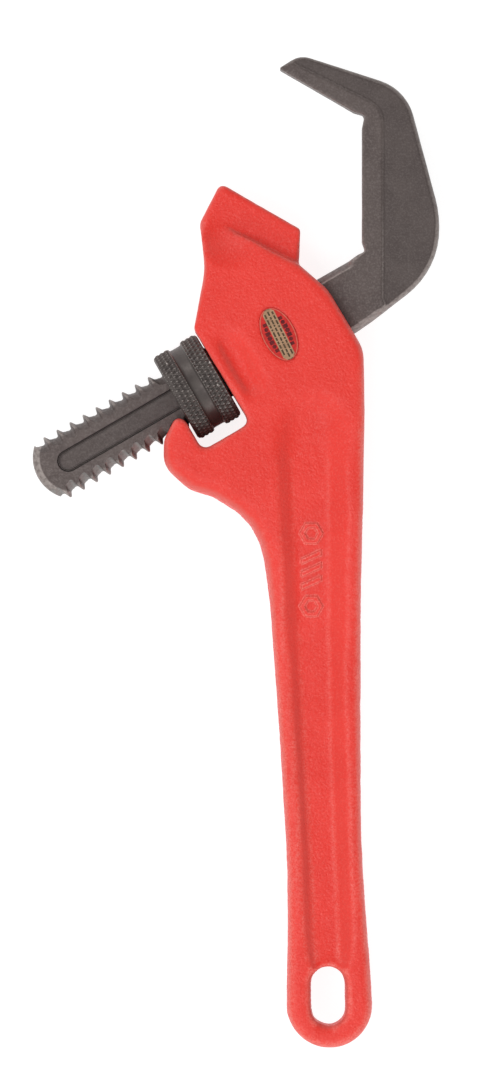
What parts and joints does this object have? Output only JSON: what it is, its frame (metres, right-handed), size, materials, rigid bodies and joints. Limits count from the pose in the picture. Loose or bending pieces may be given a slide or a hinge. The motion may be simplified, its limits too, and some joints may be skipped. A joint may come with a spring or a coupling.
{
  "type": "offset hex wrench",
  "caption": "Offset hex wrench of the pipe-wrench pattern: red iron handle and heel jaw, dark smooth hook jaw on a threaded shank, and a knurled nut that opens it.",
  "frame": {"origin": "on the lower cheek of the housing, straight below the middle of the shank's channel", "axes": "+Y along the handle towards the jaws, +Z the thickness, so the wrench lies on its side; the shank's axis is 30 degrees up from +X at z = 13.5 mm"},
  "size_m": [0.1141, 0.2779, 0.0272],
  "materials": {
    "red_paint": "semi-gloss paint over a sand-cast surface",
    "forged_steel": "dark phosphate over forged steel",
    "nut_steel": "dark phosphate, knurled",
    "spring_steel": "oiled spring steel",
    "label_foil": "printed foil"
  },
  "bodies": {
    "handle": {"handle_housing": "red_paint", "flat_spring": "spring_steel", "coil_spring": "spring_steel", "spring_rivet": "spring_steel", "nameplate": "label_foil"},
    "nut": {"adjusting_nut": "nut_steel"},
    "hook": {"hook_jaw": "forged_steel"}
  },
  "joints": [
    {"name": "nut_spin", "type": "hinge", "parent": "handle", "child": "nut", "pos_m": [0, 0, 0.0135], "axis": [-0.866, -0.5, 0], "range_deg": [-749, 2994]},
    {"name": "hook_slide", "type": "slide", "parent": "handle", "child": "hook", "axis": [0.866, 0.5, 0], "range_m": [-0.0088, 0.0352]}
  ],
  "couplings": [
    {"joint": "nut_spin", "follows": "hook_slide", "rad_per_m": 1484.2}
  ]
}
